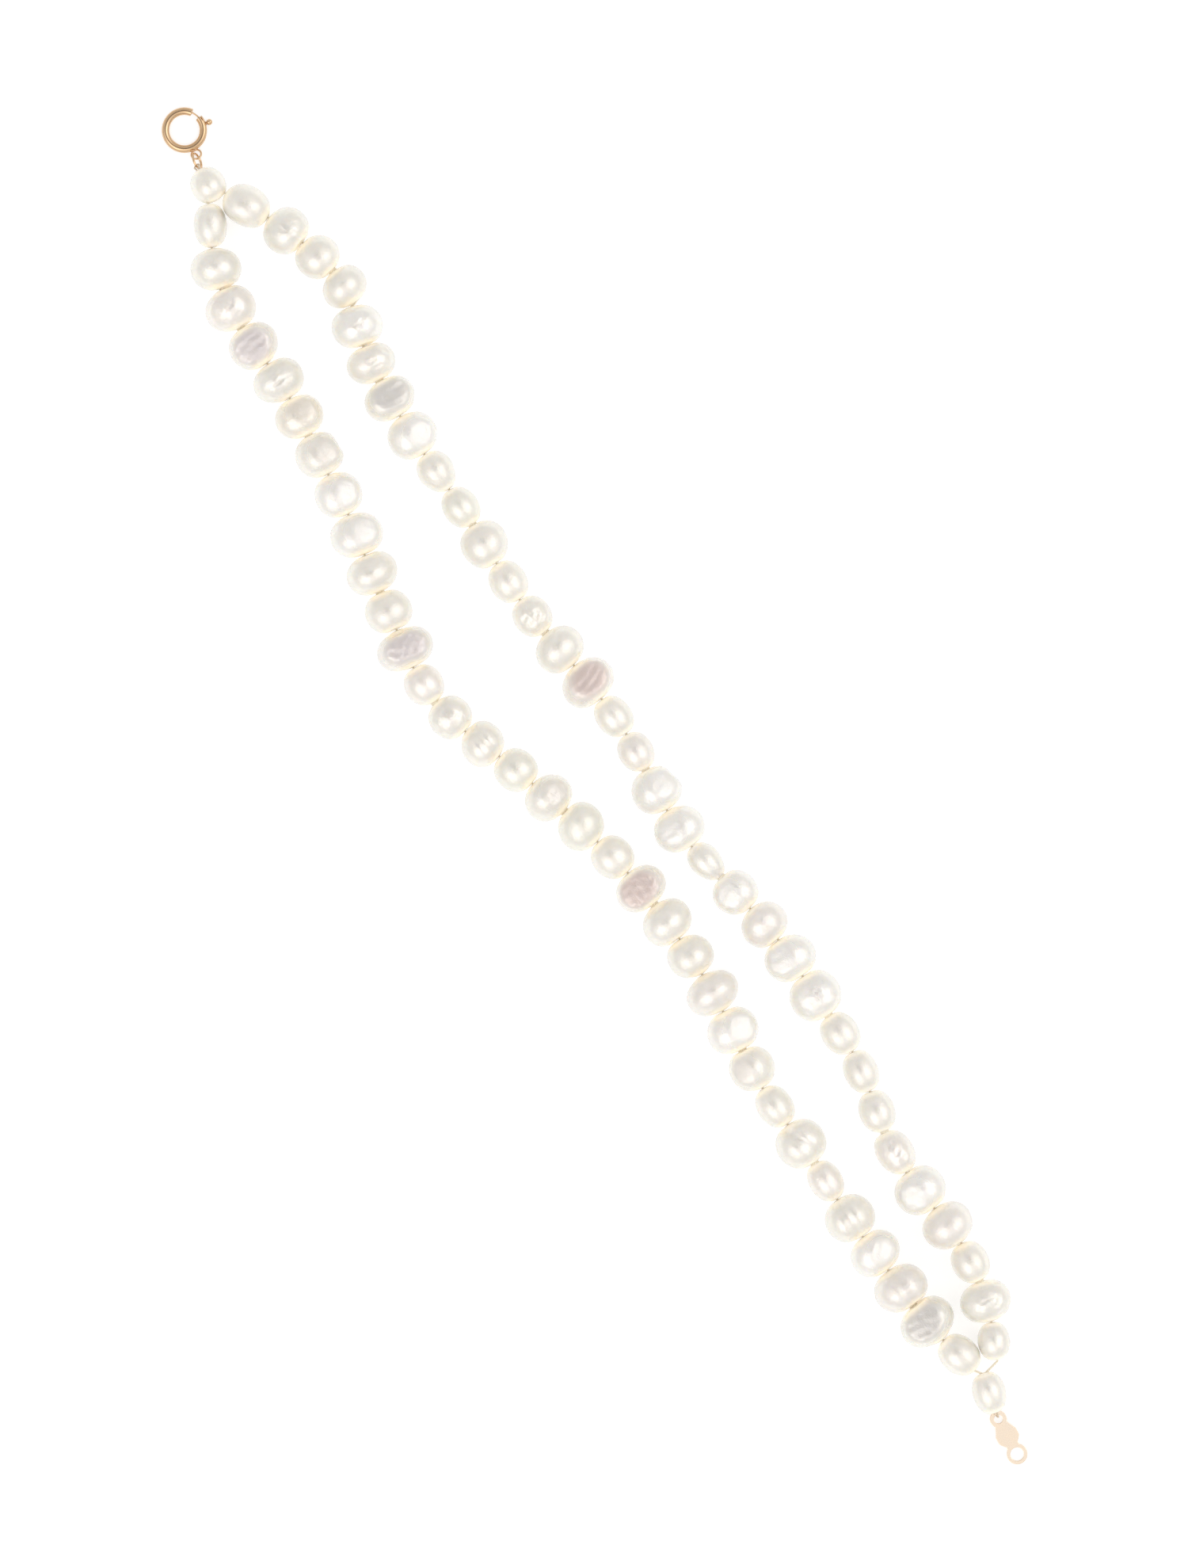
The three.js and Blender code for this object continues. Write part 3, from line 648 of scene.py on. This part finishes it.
def thread_between(name, pearl, other, body_a, body_b, side=0.0):
    """The thread in the gap between two pearls. It rides on body_a alone, or on no body when body_b is given.
    """
    ahead = unit(other.near - pearl.far)
    shift = np.cross(UP, level(ahead)) * side
    start, end = pearl.far + shift, other.near + shift
    path = [start - unit(pearl.far - pearl.near) * INSIDE]
    path += [start + (end - start) * t for t in np.linspace(0, 1, 7)]
    path.append(end + unit(other.far - other.near) * (INSIDE if body_b else AT_THE_MOUTH))
    plies = THREAD_RADIUS * (0.94 + 0.06 * np.cos(np.arange(len(path)) * 2.4))
    piece = rod(name, path, plies, SILK, 14)
    if body_b is None:
        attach(piece, body_a)
    else:
        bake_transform(piece)
    return piece


def knot(name, pearl, other):
    """The overhand knot that holds two pearls of a pair apart: one turn of thread round the gap."""
    middle = (pearl.far + other.near) / 2
    ahead = unit(other.near - pearl.far)
    side = np.cross(UP, level(ahead))
    over = np.cross(ahead, side)
    turns = np.linspace(0, 2 * math.pi, 40, endpoint=False)
    reach = KNOT_RADIUS - THREAD_RADIUS
    path = [middle + reach * (math.cos(t) * side + math.sin(t) * over) for t in turns]
    piece = rod(name, path, THREAD_RADIUS, SILK, 10, closed=True)
    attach(piece, pearl.body)


bends = {frozenset((j["parent"], j["child"])) for j in frame["joints"]}
SIDE_BY_SIDE = 0.17 * MM  # the two threads share the end pearls' holes
for strand, side in (("a", -SIDE_BY_SIDE), ("b", SIDE_BY_SIDE)):
    row = [first, *pearls[strand], last]
    for number, (pearl, other) in enumerate(zip(row, row[1:])):
        name = f"thread_{strand}{number:02d}"
        if pearl.body == other.body:
            knot(f"knot_{strand}{number:02d}", pearl, other)
            continue
        beside = side if number in (0, len(row) - 2) else 0.0
        joined = frozenset((pearl.body, other.body)) in bends
        ends_on = other.body if joined else None
        piece = thread_between(name, pearl, other, pearl.body, ends_on, beside)
        if number == 0:
            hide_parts(f"thread_{strand}")

# ---------------------------------------------------------------- the gold fittings
#
# Places are counted from the middle of the clasp-end pearl, and heights from the table, in millimetres.

clasp_low, clasp_high = (np.array(c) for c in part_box("pearl_clasp_end"))
start_of_frame = np.array([*((clasp_low + clasp_high) / 2)[:2], 0.0])


def place(x, y, z):
    """A point in metres from its place in millimetres."""
    return start_of_frame + np.array([x, y, z]) * MM


def turned(x, y, degrees):
    """A point turned round the origin."""
    angle = math.radians(degrees)
    return x * math.cos(angle) - y * math.sin(angle), x * math.sin(angle) + y * math.cos(angle)


# Angles on the spring ring count anticlockwise from +X, in degrees, and pass 360 on the way round.
RING = {
    "centre": (-7.2, 1.2, 0.46),
    "radius": 2.27,
    "tube": 0.46,
    "wall": 0.17,
    "mouth": 124,
    "end": 458,
}
SLOT = {"from": 400, "half_width": 22.5, "mouth_from": 445, "mouth_top": 67.5}
TRIGGER = {"tail": 62, "tip": 126.5, "neck_at": 75, "ball_at": 3.13, "ball": 0.37}
SPRING = {"coil": 0.19, "wire": 0.035, "turns": 12, "from": -62, "to": 60.5}
LUG = {"angle": -7, "reach": 3.24, "radius": 0.6, "wire": 0.12, "tilt": 25}
JUMP_RING = {
    "centre": (-3.2, 0.45, 1.08),
    "radius": 0.95,
    "wire": 0.14,
    "turn": -12,
    "lean": 22,
    "hook": 42,
}


def on_ring(angle, reach, height=0.0):
    """A point on the spring ring, from its angle, its distance from the ring's middle and its height."""
    x, y = turned(reach, 0, angle)
    return place(RING["centre"][0] + x, RING["centre"][1] + y, RING["centre"][2] + height)


def finished(piece, body, slot, *replaced):
    """A fitting on its body, with soft edges shaded smooth up to a crease."""
    edges = piece.modifiers.new("crease", "EDGE_SPLIT")
    edges.split_angle = math.radians(40)
    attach(piece, body)
    if replaced:
        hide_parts(*replaced)


def ring_tube():
    """The spring ring's hollow body, open at its mouth, with the slot that the trigger's neck runs in."""
    along, round_it = 132, 48
    cell = 360 / round_it
    angles = np.linspace(RING["mouth"], RING["end"], along + 1)
    points = []
    for angle in angles:
        for j in range(round_it):
            v = math.radians(j * cell)
            reach = RING["radius"] + RING["tube"] * math.cos(v)
            points.append(on_ring(angle, reach, RING["tube"] * math.sin(v)))
    faces = []
    for i in range(along):
        middle = (angles[i] + angles[i + 1]) / 2
        top = SLOT["mouth_top"] if middle > SLOT["mouth_from"] else SLOT["half_width"]
        for j in range(round_it):
            v = ((j + 0.5) * cell + 180) % 360 - 180
            if middle > SLOT["from"] and -SLOT["half_width"] < v < top:
                continue
            k = (j + 1) % round_it
            here, after = i * round_it, (i + 1) * round_it
            faces.append((here + j, here + k, after + k, after + j))
    piece = mesh_object("ring_body", points, faces, ROSE_GOLD)
    loose = bmesh.new()
    loose.from_mesh(piece.data)
    bmesh.ops.delete(loose, geom=[v for v in loose.verts if not v.link_faces], context="VERTS")
    bmesh.ops.recalc_face_normals(loose, faces=loose.faces)
    loose.to_mesh(piece.data)
    loose.free()
    wall = piece.modifiers.new("wall", "SOLIDIFY")
    wall.thickness = RING["wall"] * MM
    wall.offset = -1
    rim = piece.modifiers.new("rim", "BEVEL")
    rim.width = 0.025 * MM
    rim.segments = 2
    rim.limit_method = "ANGLE"
    rim.angle_limit = math.radians(50)
    finished(piece, "spring_ring", "rose_gold", "spring_ring")


def lug():
    """The little eye on the ring that the jump ring goes through."""
    turns = np.linspace(0, 2 * math.pi, 40, endpoint=False)
    tilt = math.radians(LUG["tilt"])
    x, y = turned(LUG["reach"], 0, LUG["angle"])
    path = []
    for t in turns:
        out, side = LUG["radius"] * math.cos(t), LUG["radius"] * math.sin(t)
        path.append(place(
            RING["centre"][0] + x + out * math.cos(tilt),
            RING["centre"][1] + y + side,
            RING["centre"][2] + out * math.sin(tilt),
        ))
    eye = rod("ring_lug", path, LUG["wire"] * MM, ROSE_GOLD, 16, closed=True)
    finished(eye, "spring_ring", "rose_gold")


def turned_profile(name, start, axis, profile, material, sides):
    """A round piece turned about an axis. The profile is (distance along it, radius), in millimetres."""
    side = unit(np.cross(axis, UP))
    over = np.cross(axis, side)
    points = [
        start + axis * along * MM + radius * MM * (math.cos(t) * side + math.sin(t) * over)
        for along, radius in profile
        for t in np.linspace(0, 2 * math.pi, sides, endpoint=False)
    ]
    faces = loft_faces(len(profile), sides, False)
    faces.append(tuple(reversed(range(sides))))
    faces.append(tuple(range(len(points) - sides, len(points))))
    return mesh_object(name, points, faces, material)


# The knob's neck through the slot and its small collar: distances from the ring's middle, with radii.
NECK_AND_COLLAR = [
    (2.27, 0.12), (2.69, 0.12), (2.7, 0.23), (2.72, 0.25), (2.75, 0.25), (2.77, 0.23), (2.78, 0.15),
]


def trigger():
    """The bolt that closes the mouth, and the knob that a fingernail slides it by."""
    angles = np.linspace(TRIGGER["tail"], TRIGGER["tip"], 40)
    taper = 0.16 - 0.06 * soft_step(angles, 92, 104)
    bolt = rod("bolt", [on_ring(a, RING["radius"]) for a in angles], taper * MM, ROSE_GOLD, 16)
    piston_at = np.linspace(TRIGGER["tail"], TRIGGER["tail"] + 5, 6)
    piston = rod("piston", [on_ring(a, RING["radius"]) for a in piston_at], 0.22 * MM, ROSE_GOLD, 16)
    outward = level(on_ring(TRIGGER["neck_at"], 2) - on_ring(TRIGGER["neck_at"], 1))
    ball = [
        (TRIGGER["ball_at"] - TRIGGER["ball"] * math.cos(t), TRIGGER["ball"] * math.sin(t))
        for t in np.linspace(0.42, math.pi - 0.02, 24)
    ]
    knob = turned_profile("knob", on_ring(0, 0), outward, NECK_AND_COLLAR + ball, ROSE_GOLD, 32)
    finished(bolt, "trigger", "rose_gold", "trigger")
    finished(piston, "trigger", "rose_gold")
    finished(knob, "trigger", "rose_gold")


def trigger_spring():
    """The coil that pushes the bolt shut."""
    share = np.linspace(0, 1, SPRING["turns"] * 16 + 1)
    angles = SPRING["from"] + (SPRING["to"] - SPRING["from"]) * share
    turns = 2 * math.pi * SPRING["turns"] * share
    path = [
        on_ring(angle, RING["radius"] + SPRING["coil"] * math.cos(t), SPRING["coil"] * math.sin(t))
        for angle, t in zip(angles, turns)
    ]
    piece = rod("spring_coil", path, SPRING["wire"] * MM, SPRING_STEEL, 8)
    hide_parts("trigger_spring")
    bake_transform(piece)


def jump_ring_axes():
    """The jump ring's level direction, its upward direction, and the direction square to both."""
    lean, turn = math.radians(JUMP_RING["lean"]), math.radians(JUMP_RING["turn"])
    across = np.array([math.cos(turn), math.sin(turn), 0.0])
    upward = np.array([0.0, -math.sin(lean), math.cos(lean)])
    upward = unit(upward - across * (upward @ across))
    return across, upward, np.cross(across, upward)


def jump_ring():
    """The wire ring between the lug and the French wire loop, with the cut where its ends meet."""
    across, upward, _ = jump_ring_axes()
    middle = place(*JUMP_RING["centre"])
    turns = np.linspace(0, 2 * math.pi, 96, endpoint=False)
    radius = JUMP_RING["radius"] * MM
    path = [middle + radius * (math.cos(t) * across + math.sin(t) * upward) for t in turns]
    cut = 0.22 * np.exp(-((turns - 2.2) / 0.03) ** 2)
    wire = JUMP_RING["wire"] * MM * (1 - cut)
    piece = rod("jump_ring_wire", path, wire, ROSE_GOLD, 20, closed=True)
    finished(piece, "jump_ring", "rose_gold", "jump_ring")


FRENCH = {"pitch": 0.075 * MM, "coil": 0.07 * MM, "wire": 0.032 * MM, "points_per_turn": 9}


def french_wire(name, points, body, node):
    """A thread covered in a fine coil of wire, along a few points."""
    path = smooth_path(points, 24)
    steps = np.concatenate([[0], np.cumsum(np.linalg.norm(np.diff(path, axis=0), axis=1))])
    count = int(steps[-1] / FRENCH["pitch"] * FRENCH["points_per_turn"])
    spots = np.linspace(0, steps[-1], count)
    core = np.stack([np.interp(spots, steps, path[:, i]) for i in range(3)], 1)
    _, side, over = frames_along(core)
    turn = np.arange(count) * 2 * math.pi / FRENCH["points_per_turn"]
    coil = core + FRENCH["coil"] * (np.cos(turn)[:, None] * side + np.sin(turn)[:, None] * over)
    piece = rod(name, coil, FRENCH["wire"], FRENCH_WIRE, 6)
    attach(piece, body)
    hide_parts(node)


def clasp_loop():
    """The French wire loop at the clasp: out of the end pearl's hole, round the jump ring and back."""
    across, upward, normal = jump_ring_axes()
    angle = math.radians(JUMP_RING["hook"])
    outward = math.cos(angle) * across + math.sin(angle) * upward
    hook = place(*JUMP_RING["centre"]) + outward * JUMP_RING["radius"] * MM

    def near_hook(out, side):
        return hook + (outward * out - normal * side) * MM

    def leg(side):
        y = side * SIDE_BY_SIDE
        hole = first.near
        deep = first.near + (first.far - first.near) * np.array([[0.42], [0.1]])
        return [
            deep[0] + [0, y, 0],
            deep[1] + [0, y, 0],
            hole + np.array([-0.15 * MM, y * 1.1, 0]),
            hole + np.array([-0.38 * MM, y * 1.7, -0.25 * MM]),
            near_hook(0, side * 0.36),
            near_hook(-0.3, side * 0.25),
        ]

    points = [*leg(-1), near_hook(-0.42, 0), *reversed(leg(1))]
    french_wire("clasp_loop_coil", points, "pearl_clasp_end", "clasp_loop")


TAG = {"centre": (175.47, -1.1, 0.55), "turn": -4.7, "slope": 3.79, "thickness": 0.3}
SMALL_EYE = {"outer": 1.03, "hole": 0.52}
LARGE_EYE = {"at": 4.8, "outer": 1.25, "hole": 0.81}
PLATE = {"from": 1.9, "to": 2.75, "half_width": 1.35}


def arc_points(x, radius, start, end):
    """Points on an arc round (x, 0), from one angle to another."""
    angles = np.radians(np.linspace(start, end, 48))
    return [(x + radius * math.cos(t), radius * math.sin(t)) for t in angles]


def bowed(start, control, end):
    """Points along a curve from start to end, drawn towards control, without its two ends."""
    t = np.linspace(0, 1, 12)[1:-1, None]
    return list((1 - t) ** 2 * np.array(start) + 2 * t * (1 - t) * np.array(control) + t**2 * np.array(end))


def tag():
    """The flat tag: its outline and two round holes, cut from plate with softened edges."""
    half = PLATE["half_width"]
    eye = arc_points(0, SMALL_EYE["outer"], 50, 310)
    far_eye = arc_points(LARGE_EYE["at"], LARGE_EYE["outer"], 220, 500)
    outline = [
        *eye,
        *bowed(eye[-1], (1.3, -1.0), (PLATE["from"], -half)),
        (PLATE["from"], -half),
        (PLATE["to"], -half),
        *bowed((PLATE["to"], -half), (3.3, -1.0), (3.45, -0.78)),
        (3.45, -0.78),
        *far_eye,
        (3.45, 0.78),
        *bowed((3.45, 0.78), (3.3, 1.0), (PLATE["to"], half)),
        (PLATE["to"], half),
        (PLATE["from"], half),
        *bowed((PLATE["from"], half), (1.3, 1.0), eye[0]),
    ]
    holes = [
        arc_points(0, SMALL_EYE["hole"], 0, 352.5),
        arc_points(LARGE_EYE["at"], LARGE_EYE["hole"], 0, 352.5),
    ]
    edge = 0.05
    curve = bpy.data.curves.new("tag_outline", "CURVE")
    curve.dimensions = "2D"
    curve.fill_mode = "BOTH"
    curve.extrude = TAG["thickness"] / 2 - edge
    curve.bevel_depth = edge
    curve.bevel_resolution = 2
    curve.offset = -edge
    for loop in (outline, *holes):
        line = curve.splines.new("POLY")
        line.points.add(len(loop) - 1)
        for point, (x, y) in zip(line.points, loop):
            point.co = (x, y, 0, 1)
        line.use_cyclic_u = True
    drawn = bpy.data.objects.new("tag_outline", curve)
    bpy.context.scene.collection.objects.link(drawn)
    graph = bpy.context.evaluated_depsgraph_get()
    mesh = bpy.data.meshes.new_from_object(drawn.evaluated_get(graph))
    bpy.data.objects.remove(drawn)
    turn = Matrix.Rotation(math.radians(TAG["turn"]), 4, "Z")
    slope = Matrix.Rotation(math.radians(TAG["slope"]), 4, "Y")
    middle = Matrix.Translation(Vector(place(*TAG["centre"])))
    mesh.transform(middle @ (turn @ slope) @ Matrix.Scale(MM, 4))
    mesh.materials.clear()
    mesh.materials.append(PALE_GOLD)
    mesh.polygons.foreach_set("use_smooth", [True] * len(mesh.polygons))
    piece = bpy.data.objects.new("tag_plate", mesh)
    bpy.context.scene.collection.objects.link(piece)
    finished(piece, "end_tag", "pale_gold", "end_tag")


# The tag's loop, from hole to hole: how far past the eye's rim, how high, and how far to the side.
TAG_LOOP = [
    (0.05, 1.95, 0.16), (0.38, 1.5, 0.12), (0.52, 0.95, 0.06), (0.5, 0.5, 0), (0.25, 0.17, -0.03),
    (-0.1, 0.12, -0.06), (-0.42, 0.4, -0.1), (-0.44, 0.85, -0.12), (-0.26, 1.35, -0.15), (-0.13, 1.85, -0.16),
]


def tag_loop():
    """The French wire loop at the tag: out of the end pearl's hole, through the small eye and back."""
    rim = -(SMALL_EYE["outer"] + SMALL_EYE["hole"]) / 2
    x, y = turned(rim * math.cos(math.radians(TAG["slope"])), 0, TAG["turn"])
    along = last.far - last.near
    side = np.cross(UP, level(along)) * SIDE_BY_SIDE
    points = [last.near + along * 0.7 + side, last.near + along * 0.95 + side]
    for past, height, aside in TAG_LOOP:
        points.append(place(TAG["centre"][0] + x + past, TAG["centre"][1] + y + aside, height))
    points += [last.near + along * 0.95 - side, last.near + along * 0.7 - side]
    french_wire("tag_loop_coil", points, "pearl_tag_end", "tag_loop")


ring_tube()
lug()
trigger()
trigger_spring()
jump_ring()
clasp_loop()
tag()
tag_loop()

# ---------------------------------------------------------------- the floor, the light and the camera

floor_material, nodes, links, shader = new_material("light_table")
shader.inputs["Base Color"].default_value = (0.5, 0.5, 0.5, 1)
shader.inputs["Roughness"].default_value = 0.9
shader.inputs["Emission Color"].default_value = (1.0, 0.993, 0.985, 1)
shader.inputs["Emission Strength"].default_value = 0.62
FLOOR_REACH = 1.5
corners = [(x * FLOOR_REACH, y * FLOOR_REACH, 0) for x, y in ((-1, -1), (1, -1), (1, 1), (-1, 1))]
floor = mesh_object("floor", corners, [(0, 1, 2, 3)], floor_material)

VIEW_HEIGHT = 188 * MM  # what the picture takes in from top to bottom
VIEW_TURN = math.radians(57)  # the bracelet lies across the picture at this angle
VIEW_CENTRE = (-0.54 * MM, 1.05 * MM)
view = bpy.data.cameras.new("camera")
view.sensor_fit = "VERTICAL"
view.sensor_height = 24
view.lens = 120
camera = bpy.data.objects.new("camera", view)
bpy.context.scene.collection.objects.link(camera)
bpy.context.scene.camera = camera
distance = VIEW_HEIGHT * view.lens / view.sensor_height
camera.location = (*VIEW_CENTRE, distance)
camera.rotation_euler = (0, 0, VIEW_TURN)


# The light comes from a white tent all round. It is brightest in two broad patches, at the lower left and
# on the right, and it has a dim opening nearly overhead, which the camera looks down through.


def glow(nodes, links, direction, towards, tightness):
    """1 where direction points towards that way, falling off smoothly round it."""
    dot = nodes.new("ShaderNodeVectorMath")
    dot.operation = "DOT_PRODUCT"
    links.new(direction, dot.inputs[0])
    dot.inputs[1].default_value = Vector(towards).normalized()
    power = nodes.new("ShaderNodeMath")
    power.operation = "POWER"
    power.use_clamp = True
    links.new(dot.outputs["Value"], power.inputs[0])
    power.inputs[1].default_value = tightness
    return power.outputs["Value"]


def sum_of(nodes, links, parts):
    """The tent's own light, plus some values, each times its weight."""
    total = None
    for value, weight in parts:
        node = nodes.new("ShaderNodeMath")
        node.operation = "MULTIPLY_ADD"
        links.new(value, node.inputs[0])
        node.inputs[1].default_value = weight
        if total is None:
            node.inputs[2].default_value = TENT_LIGHT
        else:
            links.new(total, node.inputs[2])
        total = node.outputs["Value"]
    return total


TENT_LIGHT = 0.74
PICTURE_RIGHT = np.array([math.cos(VIEW_TURN), math.sin(VIEW_TURN), 0.0])
PICTURE_UP = np.array([-math.sin(VIEW_TURN), math.cos(VIEW_TURN), 0.0])


def toward(right, up):
    """The direction to a place on the tent, so far right and up in the picture for each unit of height."""
    return tuple(right * PICTURE_RIGHT + up * PICTURE_UP + UP)


# Where each patch of the tent is, how tight it is, and how much light it adds or takes away.
LAMPS = [(toward(-0.42, -0.62), 13, 1.6), (toward(0.72, 0.12), 13, 1.5)]
OPENING = (toward(-0.1, 0.16), 30, -0.74)
world = bpy.data.worlds.new("studio")
bpy.context.scene.world = world
world.use_nodes = True
nodes, links = world.node_tree.nodes, world.node_tree.links
direction = nodes.new("ShaderNodeTexCoord").outputs["Generated"]
parts = [
    (glow(nodes, links, direction, way, tightness), weight)
    for way, tightness, weight in (*LAMPS, OPENING)
]
links.new(sum_of(nodes, links, parts), nodes["Background"].inputs["Strength"])
nodes["Background"].inputs["Color"].default_value = (1.0, 0.993, 0.995, 1)
bpy.context.scene.view_settings.view_transform = "Standard"
bpy.context.scene.view_settings.look = "None"

bpy.context.view_layer.update()
